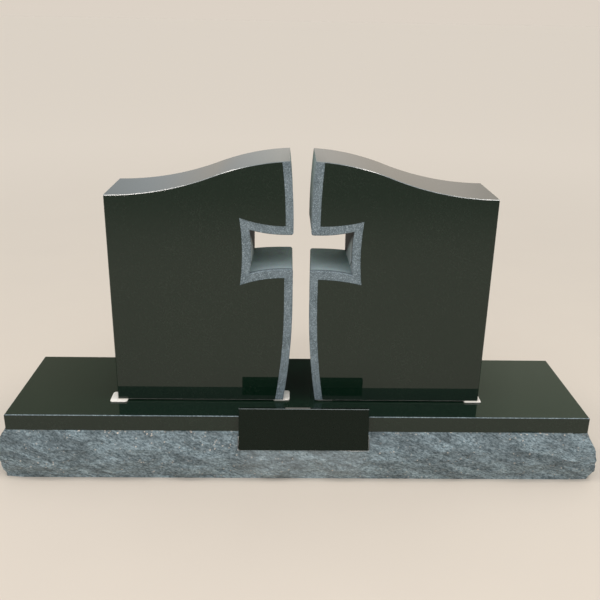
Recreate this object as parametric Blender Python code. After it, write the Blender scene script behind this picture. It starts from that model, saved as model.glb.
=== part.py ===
"""Double headstone of black granite: two tablets on one long base, with a flared cross open between them.

The facing edges of the tablets are each cut to one half of the cross, right through the
thickness. The base is polished on top and round a narrow margin, and rock-pitched below
it. A small plate leans against the base's front arris, on a seat dressed into the
pitched face. Foam setting pads lie under the tablets' corners.

Metres, +Z up. X runs along the base and -Y is the front. The origin is the middle of the
base's underside.
"""
import math
from collections import namedtuple

import bmesh
import bpy
from mathutils import Matrix, Vector, noise

# The base, over its polished top, and the strip of polished face above the rock pitch
BASE_LENGTH = 1.524
BASE_DEPTH = 0.356
BASE_HEIGHT = 0.178
MARGIN_HEIGHT = 0.044

# The rock-pitched face: how far it stands out of the margin, and the hollows left by the pitching tool
ROCK_LEDGE = 0.006
ROCK_BULGE = 0.036
ROCK_FOOT = 0.014
ROCK_BULGE_SHARE = 0.52
ROCK_LEDGE_FALL = 0.003
ROCK_HOLLOW_DEPTH = 0.010
ROCK_HOLLOW_SPACING = 0.095
ROCK_FACET = 0.038
ROCK_LEVELS = 7
ROCK_CORNER_SHARE = 0.72

# The two tablets, measured over the pair; heights run from a tablet's own foot
PAIR_WIDTH = 0.970
TABLET_THICKNESS = 0.203
TABLET_SETBACK = 0.083
SHOULDER_HEIGHT = 0.556
CREST_HEIGHT = 0.645
CREST_SHARE = 0.45
ARRIS = 0.0016

# The cross between them: half widths of its upright, and its arm measured from the middle
UPRIGHT_TOP = 0.031
UPRIGHT_WAIST = 0.021
UPRIGHT_FOOT = 0.043
LOWER_FLARE_HEIGHT = 0.276
ARM_CENTRE_HEIGHT = 0.4125
ARM_WAIST = 0.045
ARM_END = 0.057
ARM_REACH = 0.131
ARM_END_BOW = 0.0042
FLARE_LEAD = 0.022
CROSSING_RADIUS = 0.006

# How far the cut has strayed by the time it comes out at the back: the arm ends smaller and
# straighter there, and the right tablet's edge of the upright leans away from the middle
BACK_REACH_LOSS = 0.0055
BACK_END_LOSS = 0.0075
BACK_BOW_LOSS = 0.0038
RIGHT_EDGE_STRAY = 0.004

# The plate that leans on the base: its lean, and how far its top stands above the base
PLATE_WIDTH = 0.337
PLATE_HEIGHT = 0.112
PLATE_THICKNESS = 0.014
PLATE_LEAN = math.radians(11)
PLATE_RISE = 0.027
PLATE_SHIFT = 0.0115
SEAT_PLAY = 0.003

# The foam pads: how far each shows past its tablet's side and past its face, minus where it is set in
PAD_WIDTH = 0.046
PAD_DEPTH = 0.055
PAD_THICKNESS = 0.003
PADS = {
    "pad_left_outer_front": (0.020, 0.014),
    "pad_left_outer_back": (-0.005, -0.005),
    "pad_left_inner_front": (0.018, -0.002),
    "pad_left_inner_back": (-0.005, -0.005),
    "pad_right_outer_front": (0.009, 0.011),
    "pad_right_outer_back": (-0.005, -0.005),
    "pad_right_inner_front": (-0.005, -0.005),
    "pad_right_inner_back": (-0.005, -0.005),
}

# The air left between two pieces that rest on each other
CLEARANCE = 0.0003

# How finely the arcs are stepped
SERPENTINE_STEPS = 22
FLARE_STEPS = 8
CORNER_STEPS = 4

BASE_FRONT = -BASE_DEPTH / 2
TABLET_FRONT = BASE_FRONT + TABLET_SETBACK
TABLET_BACK = TABLET_FRONT + TABLET_THICKNESS
PAD_UNDERSIDE = BASE_HEIGHT + CLEARANCE
TABLET_FOOT = PAD_UNDERSIDE + PAD_THICKNESS + CLEARANCE
ROCK_HEIGHT = BASE_HEIGHT - MARGIN_HEIGHT
HALF_PAIR = PAIR_WIDTH / 2

# The sizes of the cross's opening that change between a tablet's face and its back
Opening = namedtuple("Opening", "top waist foot reach end bow")
FACE_OPENING = Opening(UPRIGHT_TOP, UPRIGHT_WAIST, UPRIGHT_FOOT, ARM_REACH, ARM_END, ARM_END_BOW)


def clear_scene():
    for thing in list(bpy.data.objects):
        bpy.data.objects.remove(thing, do_unlink=True)


def stone(name, colour, roughness):
    """A plain granite or foam finish."""
    material = bpy.data.materials.new(name)
    material.use_nodes = True
    shader = material.node_tree.nodes["Principled BSDF"]
    shader.inputs["Base Color"].default_value = (*colour, 1.0)
    shader.inputs["Roughness"].default_value = roughness
    shader.inputs["Metallic"].default_value = 0.0
    return material


def polished_granite():
    return stone("polished black granite", (0.022, 0.024, 0.021), 0.06)


def pitched_granite():
    return stone("rock-pitched black granite", (0.110, 0.130, 0.140), 0.85)


def pad_foam():
    return stone("off-white setting foam", (0.640, 0.590, 0.520), 0.90)


def add_object(name, shape, material):
    """Turns a finished bmesh into a named object with one finish."""
    bmesh.ops.recalc_face_normals(shape, faces=shape.faces)
    mesh = bpy.data.meshes.new(name)
    shape.to_mesh(mesh)
    shape.free()
    mesh.materials.append(material)
    thing = bpy.data.objects.new(name, mesh)
    bpy.context.scene.collection.objects.link(thing)
    return thing


def flare(run, spread):
    """An arc that leaves an arm's straight edge smoothly: pairs of way along it and way out of it."""
    radius = (run ** 2 + spread ** 2) / (2 * spread)
    turn = math.asin(run / radius)
    angles = [turn * step / FLARE_STEPS for step in range(FLARE_STEPS + 1)]
    return [(radius * math.sin(angle), radius * (1 - math.cos(angle))) for angle in angles]


def serpentine_height(x):
    """The top's height at a distance from the middle: a crest arc, then a hollow shoulder arc."""
    rise = CREST_HEIGHT - SHOULDER_HEIGHT
    slope = 2 * math.atan(rise / HALF_PAIR)
    both_radii = HALF_PAIR / math.sin(slope)
    crest_radius = CREST_SHARE * both_radii
    shoulder_radius = both_radii - crest_radius
    if x < CREST_SHARE * HALF_PAIR:
        return CREST_HEIGHT - crest_radius + math.sqrt(crest_radius ** 2 - x ** 2)
    return SHOULDER_HEIGHT + shoulder_radius - math.sqrt(shoulder_radius ** 2 - (HALF_PAIR - x) ** 2)


def serpentine_edge(opening):
    """The tablet's top, from its outer corner to the lip of the cross."""
    steps = range(SERPENTINE_STEPS + 1)
    along = [HALF_PAIR + (opening.top - HALF_PAIR) * step / SERPENTINE_STEPS for step in steps]
    return [(x, serpentine_height(x)) for x in along]


def upper_upright_edge(opening):
    """The upright's edge from below the top down to where it runs straight."""
    start = ARM_CENTRE_HEIGHT + ARM_WAIST + FLARE_LEAD
    run = serpentine_height(opening.top) - start
    steps = flare(run, opening.top - opening.waist)
    return [(opening.waist + out, start + along) for along, out in steps[-2::-1]]


def lower_upright_edge(opening):
    """The upright's edge from where it leaves the straight down to the tablet's foot."""
    steps = flare(LOWER_FLARE_HEIGHT, opening.foot - opening.waist)
    return [(opening.waist + out, LOWER_FLARE_HEIGHT - along) for along, out in steps]


def crossing_corner(opening):
    """The rounded corner where upright and arm meet, its heights counted from the arm's centre line."""
    centre_x = opening.waist + CROSSING_RADIUS
    centre_z = ARM_WAIST + CROSSING_RADIUS
    turns = [math.pi + math.pi / 2 * step / CORNER_STEPS for step in range(CORNER_STEPS + 1)]
    rounds = [(CROSSING_RADIUS * math.cos(turn), CROSSING_RADIUS * math.sin(turn)) for turn in turns]
    return [(centre_x + across, centre_z + up) for across, up in rounds]


def arm_edge(opening):
    """The arm's upper edge, from the crossing out to the sharp corner at its end."""
    start = opening.waist + FLARE_LEAD
    steps = flare(opening.reach - start, opening.end - ARM_WAIST)
    return [(start + along, ARM_WAIST + out) for along, out in steps]


def arm_end(opening):
    """The arm's end, bowed towards the middle of the cross, without its two corners."""
    radius = (opening.end ** 2 + opening.bow ** 2) / (2 * opening.bow)
    heights = [opening.end * (1 - 2 * step / FLARE_STEPS) for step in range(1, FLARE_STEPS)]
    return [(opening.reach - opening.bow + radius - math.sqrt(radius ** 2 - z ** 2), z) for z in heights]


def arm_outline(opening):
    """One half of the cross's arm, top edge, end and bottom edge, at its height on the tablet."""
    upper = crossing_corner(opening) + arm_edge(opening)
    lower = [(x, -z) for x, z in reversed(upper)]
    return [(x, ARM_CENTRE_HEIGHT + z) for x, z in upper + arm_end(opening) + lower]


def tablet_outline(opening):
    """The right tablet seen from the front, once round: distance from the middle, height above its foot."""
    outside = [(HALF_PAIR, 0.0)] + serpentine_edge(opening)
    return outside + upper_upright_edge(opening) + arm_outline(opening) + lower_upright_edge(opening)


def back_opening(stray):
    """The cross's opening where it comes out at the back of a tablet."""
    return Opening(
        top=UPRIGHT_TOP + stray,
        waist=UPRIGHT_WAIST + stray,
        foot=UPRIGHT_FOOT + stray,
        reach=ARM_REACH - BACK_REACH_LOSS,
        end=ARM_END - BACK_END_LOSS,
        bow=ARM_END_BOW - BACK_BOW_LOSS,
    )


def outline_loop(shape, side, y, opening):
    """The corners of a tablet's outline, set in the stone at one depth."""
    return [shape.verts.new((side * x, y, TABLET_FOOT + z)) for x, z in tablet_outline(opening)]


def tablet(name, side, stray):
    """One tablet: its face outline and its back outline joined all round, with fine arrises on both."""
    shape = bmesh.new()
    face = outline_loop(shape, side, TABLET_FRONT, FACE_OPENING)
    back = outline_loop(shape, side, TABLET_BACK, back_opening(stray))
    rims = list(shape.faces.new(face).edges) + list(shape.faces.new(back).edges)
    for here in range(len(face)):
        shape.faces.new((face[here - 1], face[here], back[here], back[here - 1]))
    bmesh.ops.recalc_face_normals(shape, faces=shape.faces)
    bmesh.ops.bevel(shape, geom=rims, offset=ARRIS, segments=1, affect="EDGES")
    return add_object(name, shape, polished_granite())


def base_columns():
    """The columns round the base: a point of its polished outline, and the way out of the stone there."""
    half_length, half_depth = BASE_LENGTH / 2, BASE_DEPTH / 2
    signs = [(-1, -1), (1, -1), (1, 1), (-1, 1)]
    columns = []
    for number, (sign_x, sign_y) in enumerate(signs):
        next_x, next_y = signs[(number + 1) % 4]
        here = Vector((sign_x * half_length, sign_y * half_depth, 0))
        there = Vector((next_x * half_length, next_y * half_depth, 0))
        facing = Vector((sign_x + next_x, sign_y + next_y, 0)) / 2
        columns.append((here, Vector((sign_x, sign_y, 0)) * ROCK_CORNER_SHARE))
        steps = max(3, round((there - here).length / ROCK_FACET))
        columns += [(here.lerp(there, step / steps), facing) for step in range(1, steps)]
    return columns


def rock_stand_out(rise):
    """How far the pitched face stands out at a share of its height: foot, bulge, then top ledge."""
    if rise < ROCK_BULGE_SHARE:
        return ROCK_FOOT + (ROCK_BULGE - ROCK_FOOT) * math.sin(math.pi / 2 * rise / ROCK_BULGE_SHARE)
    fall = (rise - ROCK_BULGE_SHARE) / (1 - ROCK_BULGE_SHARE)
    return ROCK_LEDGE + (ROCK_BULGE - ROCK_LEDGE) * math.cos(math.pi / 2 * fall)


def rock_levels():
    """The shares of height at which the pitched face is stepped, one of them where it bulges most."""
    even = [level / ROCK_LEVELS for level in range(ROCK_LEVELS + 1)]
    nearest = min(even, key=lambda rise: abs(rise - ROCK_BULGE_SHARE))
    return [ROCK_BULGE_SHARE if rise == nearest else rise for rise in even]


def rock_point(point, way, rise):
    """A point of the pitched face: its swelling profile, broken into hollows that a pitching tool leaves."""
    height = rise * (ROCK_HEIGHT - ROCK_LEDGE_FALL)
    place = (point + Vector((0, 0, height))) / ROCK_HOLLOW_SPACING
    hollow = noise.noise(place) + 0.5 * noise.noise(2.3 * place)
    out = min(ROCK_BULGE, rock_stand_out(rise) + ROCK_HOLLOW_DEPTH * hollow)
    wander = 0.35 * ROCK_HEIGHT / ROCK_LEVELS * noise.noise(place + Vector((7, 3, 5)))
    free = math.sin(math.pi * rise) if rise != ROCK_BULGE_SHARE else 0.0
    return point + way * out + Vector((0, 0, height + wander * free))


def base_rings():
    """The base's rings from the foot up: the pitched face, the polished margin and the top's arris."""
    columns = base_columns()
    rings = [[rock_point(point, way, rise) for point, way in columns] for rise in rock_levels()]
    for height, inward in ((ROCK_HEIGHT, 0), (BASE_HEIGHT - ARRIS, 0), (BASE_HEIGHT, ARRIS)):
        lift = Vector((0, 0, height))
        rings.append([point + lift - unit_way(way) * inward for point, way in columns])
    return rings


def unit_way(way):
    """The way out of the stone with each part rounded to a whole: both parts at a corner, one elsewhere."""
    return Vector((round(way.x), round(way.y), 0))


def base_block():
    """The base's closed mesh: rings joined by quads, and one flat face above and below."""
    shape = bmesh.new()
    rings = [[shape.verts.new(point) for point in ring] for ring in base_rings()]
    count = len(rings[0])
    for lower, upper in zip(rings, rings[1:]):
        for here in range(count):
            ahead = (here + 1) % count
            shape.faces.new((lower[here], lower[ahead], upper[ahead], upper[here]))
    shape.faces.new(rings[-1])
    shape.faces.new(reversed(rings[0]))
    return add_object("base", shape, pitched_granite())


def plate_frame():
    """The plate's own frame: on its back face's centre line, local Y out of its front and Z up its slope.

    The back face passes the base's front arris at the clearance.
    """
    arris = Vector((PLATE_SHIFT, BASE_FRONT, BASE_HEIGHT))
    turn = Matrix.Rotation(-PLATE_LEAN, 4, "X") @ Matrix.Rotation(math.pi, 4, "Z")
    return Matrix.Translation(arris) @ turn @ Matrix.Translation((0, CLEARANCE, 0))


def plate_span():
    """Where the plate's foot and top lie along its slope, counted from the base's arris."""
    top = (PLATE_RISE - PLATE_THICKNESS * math.sin(PLATE_LEAN)) / math.cos(PLATE_LEAN)
    return top - PLATE_HEIGHT, top


def box_between(low, high, frame):
    """A box between two corners of a frame."""
    shape = bmesh.new()
    middle = (Vector(low) + Vector(high)) / 2
    size = Vector(high) - Vector(low)
    place = frame @ Matrix.Translation(middle) @ Matrix.Diagonal((*size, 1.0))
    bmesh.ops.create_cube(shape, size=1.0, matrix=place)
    return shape


def nameplate():
    """The bare polished plate, with its edges eased."""
    foot, top = plate_span()
    shape = box_between((-PLATE_WIDTH / 2, 0, foot), (PLATE_WIDTH / 2, PLATE_THICKNESS, top), plate_frame())
    bmesh.ops.bevel(shape, geom=list(shape.edges), offset=ARRIS, segments=1, affect="EDGES")
    return add_object("nameplate", shape, polished_granite())


def cut_plate_seat(block):
    """Dresses a slanting seat into the pitched face, just wider than the plate, under and behind it."""
    foot, _ = plate_span()
    half_width = PLATE_WIDTH / 2 + SEAT_PLAY
    ceiling = -MARGIN_HEIGHT / 2 / math.cos(PLATE_LEAN)
    depth = 2 * ROCK_BULGE + PLATE_THICKNESS
    low = (-half_width, -CLEARANCE, foot - CLEARANCE)
    shape = box_between(low, (half_width, depth, ceiling), plate_frame())
    cutter = add_object("plate_seat_cutter", shape, pitched_granite())
    cutter.hide_render = True
    cutter.display_type = "WIRE"
    cut = block.modifiers.new("plate seat", "BOOLEAN")
    cut.operation = "DIFFERENCE"
    cut.solver = "EXACT"
    cut.object = cutter


def setting_pad(name, shows_beside, shows_before):
    """One foam pad between base and tablet, near the corner that its name gives."""
    side = -1 if "left" in name else 1
    middle_x = HALF_PAIR + shows_beside - PAD_WIDTH / 2
    if "inner" in name:
        middle_x = UPRIGHT_FOOT - shows_beside + PAD_WIDTH / 2
    middle_y = TABLET_FRONT - shows_before + PAD_DEPTH / 2
    if "back" in name:
        middle_y = TABLET_BACK + shows_before - PAD_DEPTH / 2
    middle = Vector((side * middle_x, middle_y, PAD_UNDERSIDE + PAD_THICKNESS / 2))
    half = Vector((PAD_WIDTH, PAD_DEPTH, PAD_THICKNESS)) / 2
    return add_object(name, box_between(middle - half, middle + half, Matrix.Identity(4)), pad_foam())


def build():
    clear_scene()
    block = base_block()
    cut_plate_seat(block)
    nameplate()
    tablet("tablet_left", -1, 0.0)
    tablet("tablet_right", 1, RIGHT_EDGE_STRAY)
    for name, (shows_beside, shows_before) in PADS.items():
        setting_pad(name, shows_beside, shows_before)


build()
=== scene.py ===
# %% [markdown]
# # A double granite headstone with a cross left open between its tablets
# Two polished black tablets stand on one long base, and the edges that face each other are cut so that
# a flared cross of daylight is left between them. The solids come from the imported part. This script
# keeps their sizes and gives them the finer work: the frosted band round the cut, the eased arrises,
# the broken face of the base, the squeezed setting pads and the finishes of the stone.

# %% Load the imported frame
import math
from functools import partial

import bmesh
import bpy
from mathutils import Matrix, Vector


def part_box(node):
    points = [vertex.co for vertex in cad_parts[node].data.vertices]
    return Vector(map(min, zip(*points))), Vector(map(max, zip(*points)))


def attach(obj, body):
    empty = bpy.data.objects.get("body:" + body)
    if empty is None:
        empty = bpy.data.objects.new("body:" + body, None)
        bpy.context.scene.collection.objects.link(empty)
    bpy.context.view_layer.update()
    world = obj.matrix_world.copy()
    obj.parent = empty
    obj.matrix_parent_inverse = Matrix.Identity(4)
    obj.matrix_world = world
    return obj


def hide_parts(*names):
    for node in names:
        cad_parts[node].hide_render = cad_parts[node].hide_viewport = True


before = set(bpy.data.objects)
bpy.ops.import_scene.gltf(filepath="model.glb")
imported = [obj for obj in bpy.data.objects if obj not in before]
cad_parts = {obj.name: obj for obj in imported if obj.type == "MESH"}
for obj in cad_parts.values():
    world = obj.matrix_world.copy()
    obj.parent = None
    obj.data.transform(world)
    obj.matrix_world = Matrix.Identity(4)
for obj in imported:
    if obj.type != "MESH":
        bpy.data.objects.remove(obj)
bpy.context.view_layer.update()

print("nodes:", sorted(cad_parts))

# %% [markdown]
# ## Small helpers
# Colours are written as the hex values that a colour picker shows, and a render works in linear light,
# so one function turns the first into the second. Another adds a node: its settings are properties, and
# each input takes a value, a hex colour, or the node or socket that feeds it. Shader trees and geometry
# trees share it, and each finish or tree calls it by the short name add. The kinds of node and the
# settings that come up again and again are named once.

# %% Colour and node helpers
MM = 0.001
RANGE, MIX, NOISE, CELLS = "ShaderNodeMapRange", "ShaderNodeMix", "ShaderNodeTexNoise", "ShaderNodeTexVoronoi"
MATHS, VECTORS, PARTS = "ShaderNodeMath", "ShaderNodeVectorMath", "ShaderNodeSeparateXYZ"
IN_COLOUR, SOFTLY = {"data_type": "RGBA"}, {"interpolation_type": "SMOOTHSTEP"}
TIMES, OVER, PLUS, MINUS, LARGER, BARE, SCALED = [{"operation": kind} for kind in (
    "MULTIPLY", "DIVIDE", "ADD", "SUBTRACT", "MAXIMUM", "ABSOLUTE", "SCALE")]


def linear(colour):
    """An sRGB hex colour as linear light. A colour that is light already only gets its opacity."""
    if not isinstance(colour, str):
        return (*colour, 1.0)
    shares = [int(colour[at:at + 2], 16) / 255 for at in (1, 3, 5)]
    return (*[s / 12.92 if s <= 0.04045 else ((s + 0.055) / 1.055) ** 2.4 for s in shares], 1.0)


def feed(tree, node, inputs):
    """Sets or links a node's inputs. A node given as a value stands for its first output in use."""
    for name, value in dict(inputs).items():
        if isinstance(value, bpy.types.Node):
            value = next(output for output in value.outputs if output.enabled)
        if isinstance(value, bpy.types.NodeSocket):
            tree.links.new(value, node.inputs[name])
        else:
            node.inputs[name].default_value = linear(value) if str(value).startswith("#") else value


def add_node(tree, kind, inputs=(), settings=()):
    """Adds one node with its settings, and feeds its inputs."""
    node = tree.nodes.new(kind)
    for name, value in dict(settings).items():
        setattr(node, name, value)
    feed(tree, node, inputs)
    return node


print("middle grey in linear light:", round(linear("#808080")[0], 3))

# %% Finish, mesh and object helpers
def new_finish(name):
    """A new node material, its own add, and the place of each point on the object."""
    finish = bpy.data.materials.new(name)
    finish.use_nodes = True
    add = partial(add_node, finish.node_tree)
    return finish, add, add("ShaderNodeTexCoord").outputs["Object"]


def end_finish(finish, colour, rough, bump, plain=()):
    """Feeds the shader that ends a finish: colour, spread of roughness, bump, and plain values."""
    tree = finish.node_tree
    feed(tree, tree.nodes["Principled BSDF"], {
        "Base Color": colour, "Roughness": add_node(tree, RANGE, rough),
        "Normal": add_node(tree, "ShaderNodeBump", bump)} | dict(plain))
    return finish


def fill_ramp(ramp, stops):
    """Gives a colour ramp its stops, each a share of the way and a colour."""
    elements = ramp.color_ramp.elements
    while len(elements) < len(stops):
        elements.new(1.0)
    for element, (share, colour) in zip(elements, stops):
        element.position, element.color = share, linear(colour)
    return ramp


def plain_mesh(name, mesh, finishes):
    """Turns a bmesh into plain mesh data with these finishes, and frees it."""
    data = bpy.data.meshes.new(name)
    mesh.to_mesh(data)
    mesh.free()
    for finish in finishes:
        data.materials.append(finish)
    return data


def new_object(name, data):
    """A new object in the scene."""
    made = bpy.data.objects.new(name, data)
    bpy.context.scene.collection.objects.link(made)
    return made


# %% [markdown]
# ## Polished black granite
# What the trade calls black granite is a gabbro: dark crystals about a millimetre across, ground with
# finer and finer grit and buffed until it is a mirror. The eye sees two things in it: a faint green-black
# body with tiny paler crystals, and the room reflected at about four per cent, more at a glance. So the
# body colour stays very dark, the shader's own Fresnel does the mirror, and only a little haze from
# wiping breaks it. The crystals are drawn 2.4 mm across, because at their real size they wouldn't show.
# The plate is of a blacker stone that mirrors less.

# %% Polished granite
CRYSTAL, WIPE, CLOUD = 2.4 * MM, 60 * MM, 160 * MM


def make_polished_granite(name, body, crystal, ior):
    """Gabbro buffed to a mirror: dark body, faint crystals, a trace of wiping haze."""
    finish, add, place = new_finish(name)
    grains = add(CELLS, {"Vector": place, "Scale": 1 / CRYSTAL})
    pale = add(RANGE, {"Value": grains.outputs["Color"], "From Min": 0.55, "From Max": 1.0})
    clouds = add(NOISE, {"Vector": place, "Scale": 1 / CLOUD, "Detail": 3.0})
    share = add(MATHS, {0: pale, 1: clouds}, TIMES)
    colour = add(MIX, {0: share, 6: body, 7: crystal}, IN_COLOUR)
    wiped = add(NOISE, {"Vector": place, "Scale": 1 / WIPE, "Detail": 4.0})
    return end_finish(finish, colour, {
        "Value": wiped, "From Min": 0.35, "From Max": 0.75, "To Min": 0.025, "To Max": 0.07}, {
        "Height": grains.outputs["Distance"], "Strength": 0.05, "Distance": 0.02 * MM}, {"IOR": ior})


polished_granite = make_polished_granite("polished black gabbro", "#0b1f15", "#29352c", 1.50)
plate_granite = make_polished_granite("polished black gabbro plate", "#08150e", "#161e18", 1.27)
print("crystals per 100 mm:", round(100 * MM / CRYSTAL))

# %% [markdown]
# ## The frosted band
# Round the cut the mirror is blasted away with grit, through a stencil. Each grain leaves a pit, so the
# surface scatters light instead of reflecting it, and the same black stone looks blue-grey. Its broken
# crystals show as a fine pale speckle. Just inside the cut's lip the frost is darker, which is painted shade:
# the thin shadow along the lip.

# %% Frosted granite
FROST_GRIT, FROST_DRIFT = 1.9 * MM, 34 * MM
TABLET_LOW, TABLET_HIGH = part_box("tablet_right")
FACE_Y, BACK_Y = TABLET_LOW.y, TABLET_HIGH.y


def make_frosted_granite():
    """Gabbro blasted with grit: matt, blue-grey, finely speckled, and darker inside the lip as painted shade.
    """
    finish, add, place = new_finish("grit-blasted gabbro")
    pits = add(CELLS, {"Vector": place, "Scale": 1 / FROST_GRIT})
    drift = add(NOISE, {"Vector": place, "Scale": 1 / FROST_DRIFT, "Detail": 3.0})
    toned = add(RANGE, {"Value": drift, "From Min": 0.3, "From Max": 0.7})
    ground = add(MIX, {0: toned, 6: "#515f66", 7: "#69777f"}, IN_COLOUR)
    bright = add(RANGE, {"Value": pits.outputs["Color"], "From Min": 0.5, "From Max": 1.0})
    speckled = add(MIX, {0: bright, 6: ground, 7: "#a6b5bd"}, IN_COLOUR)
    depth = add(PARTS, {0: place}).outputs["Y"]
    # Painted shade: the frost inside the lip is darkened, for the thin shadow along the lip.
    painted_lip_shade = add(RANGE, {
        "Value": depth, "From Min": FACE_Y + 1 * MM, "From Max": FACE_Y + 3 * MM, "To Max": 0.5})
    colour = add(MIX, {0: painted_lip_shade, 6: speckled, 7: "#48545a"}, IN_COLOUR)
    return end_finish(finish, colour, {
        "Value": drift, "To Min": 0.62, "To Max": 0.85}, {
        "Height": pits.outputs["Distance"], "Strength": 0.5, "Distance": 0.4 * MM}, {"IOR": 1.50})


frosted_granite = make_frosted_granite()
print("grit pits per 10 mm:", round(10 * MM / FROST_GRIT, 1))

# %% [markdown]
# ## Sawn stone
# The faces that nobody looks at stay as the saw left them: the undersides, the plate's back, and the seat
# that was dressed for the plate. The blade leaves faint parallel marks and a pale flour of stone, and this
# pale grey is what the polished base mirrors under the tablets.

# %% Sawn granite
SAW_MARK, SAW_FLOUR = 5 * MM, 18 * MM


def make_sawn_granite():
    """Gabbro as the saw leaves it: pale with stone flour, and faintly ribbed."""
    finish, add, place = new_finish("sawn gabbro")
    flour = add(NOISE, {"Vector": place, "Scale": 1 / SAW_FLOUR, "Detail": 4.0})
    colour = add(MIX, {0: flour, 6: "#c2c6c4", 7: "#ebe9e3"}, IN_COLOUR)
    ribs = add("ShaderNodeTexWave", {
        "Vector": place, "Scale": 1 / SAW_MARK, "Distortion": 1.5, "Detail": 1.0}, {"bands_direction": "X"})
    return end_finish(finish, colour, {
        "Value": flour, "To Min": 0.7, "To Max": 0.9}, {
        "Height": ribs.outputs["Fac"], "Strength": 0.3, "Distance": 0.2 * MM})


sawn_granite = make_sawn_granite()
print("saw marks per 100 mm:", round(100 * MM / SAW_MARK))

# %% [markdown]
# ## The cut's own face
# A curve like this is cut by a jet of water and grit. The jet enters the polished face cleanly, and as it
# loses force it begins to waver, so the wall is fine near the front and has soft grooves near the back.
# The blasting reaches in from the front. Behind it the colour is painted light and shade: a fine dark line at
# the step is painted shadow, the stone behind it is pale where the light reaches in, and it darkens with
# depth. At the ends of the arm the wall is pale below a slanting line, which is painted light, with a thin
# dark line along the slant. Above the slant and in a strip at the front the wall is dark, which is painted
# shade. One colour ramp along the depth gives a sill. On an end wall the height is added to the depth, which
# slants the ramp. The grooves run straight through, because their noise is stretched along the depth.

# %% Granite inside the cut
CUT_GRAIN, GROOVE, GROOVE_RUN = 3 * MM, 3 * MM, 90 * MM
ARM_FLOOR, ARM_HEIGHT = TABLET_LOW.z + 356 * MM, 114 * MM
# Painted light and shade by depth: a dark painted shadow line at the step, pale where the light reaches in,
# darker towards the back. On the end walls the wall is pale below a slant, with a thin dark line along it,
# and dark at the top back.
SILL_LIGHT_AND_SHADE = [(0.046, "#0c1012"), (0.060, "#0c1012"), (0.068, "#94a4a9"), (0.40, "#90a1a1"), (1.0, "#5b6c67")]
END_LIGHT_AND_SHADE = [(0.0, "#cfd8dc"), (0.34, "#c4ced2"), (0.38, "#2c3436"), (0.42, "#c8d2d5"), (0.84, "#aab6b8"),
             (1.0, "#1a201f")]


def make_cut_granite(name, tones, end):
    """Gabbro as the water jet leaves it, with painted light and shade: pale near the face, darker with depth,
    and fine painted shadow lines.
    """
    finish, add, place = new_finish(name)
    parts = add(PARTS, {0: place}).outputs
    depth = add(RANGE, {"Value": parts["Y"], "From Min": FACE_Y, "From Max": BACK_Y})
    height = add(RANGE, {
        "Value": parts["Z"], "From Min": ARM_FLOOR, "From Max": ARM_FLOOR + ARM_HEIGHT, "To Max": end})
    way_in = add(MATHS, {0: depth, 1: height}, PLUS)
    toned = fill_ramp(add("ShaderNodeValToRGB", {"Fac": way_in}), tones)
    # Painted shade: on an end wall, a strip at the front of the wall behind the step is darkened.
    front_shade_strip = add(RANGE, {
        "Value": depth, "From Min": 0.11, "From Max": 0.13, "To Min": end, "To Max": 0.0})
    with_shade_lines = add(MIX, {0: front_shade_strip, 6: toned, 7: "#262d2f"}, IN_COLOUR)
    grain = add(NOISE, {"Vector": place, "Scale": 1 / CUT_GRAIN, "Detail": 2.0})
    speckled = add(MIX, {
        0: 0.7, 6: with_shade_lines, 7: grain.outputs["Color"]}, {"data_type": "RGBA", "blend_type": "SOFT_LIGHT"})
    stretched = add("ShaderNodeMapping", {
        "Vector": place, "Scale": (1 / GROOVE, 1 / GROOVE_RUN, 1 / GROOVE)})
    grooves = add(NOISE, {"Vector": stretched, "Scale": 1.0})
    growing = add(RANGE, {
        "Value": depth, "From Min": 0.15, "From Max": 1.0, "To Min": 0.05, "To Max": 0.6})
    return end_finish(finish, speckled, {
        "Value": grain, "To Min": 0.55, "To Max": 0.8}, {
        "Height": grooves, "Strength": growing, "Distance": 0.8 * MM}, {
        "IOR": 1.50, "Specular IOR Level": 0.12})


cut_granite = make_cut_granite("jet-cut gabbro", SILL_LIGHT_AND_SHADE, 0.0)
cut_end_granite = make_cut_granite("jet-cut gabbro at an arm's end", END_LIGHT_AND_SHADE, 1.0)
print("the cut runs from y", round(FACE_Y, 4), "to", round(BACK_Y, 4))

# %% [markdown]
# ## The eased arris
# A mason never leaves a polished edge sharp: it is rubbed down with a few strokes of a hand pad. That
# narrow bevel is polished less than the faces, so it is paler, and it catches the lights above as a thin
# line.

# %% Rubbed arris
HAND_STROKE = 14 * MM


def make_rubbed_arris():
    """The hand-rubbed bevel along the stone's edges: greyer than the faces and a little hazy."""
    finish, add, place = new_finish("hand-rubbed gabbro arris")
    strokes = add(NOISE, {"Vector": place, "Scale": 1 / HAND_STROKE, "Detail": 5.0})
    colour = add(MIX, {0: strokes, 6: "#4c5456", 7: "#8d9496"}, IN_COLOUR)
    return end_finish(finish, colour, {
        "Value": strokes, "To Min": 0.1, "To Max": 0.24}, {
        "Height": strokes, "Strength": 0.2, "Distance": 0.1 * MM}, {"IOR": 1.55})


rubbed_arris = make_rubbed_arris()
print("the rubbed arris is finished with", len(rubbed_arris.node_tree.nodes), "nodes")

# %% [markdown]
# ## The rock-pitched face
# Below its polished margin the base is split with a pitching tool, and nothing smooths it afterwards.
# Broken crystals throw the light about, so the black stone turns blue-grey, with slanting strokes where it
# tore and paler bruises. The light and dark of the strokes is partly the stone's own mottling and partly
# painted shading of the relief. The strokes come from noise that is stretched along a slanting line, under 4
# mm apart. Pale flecks are painted glints of its crystals, and they gather under the margin, where the ledge
# catches the light from above. Round the plate's seat, which was dressed with a chisel, the stone is paler:
# painted light that lifts the plate's shadow. Towards its foot the stone is paler, with the flour that
# settled on it.

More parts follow.
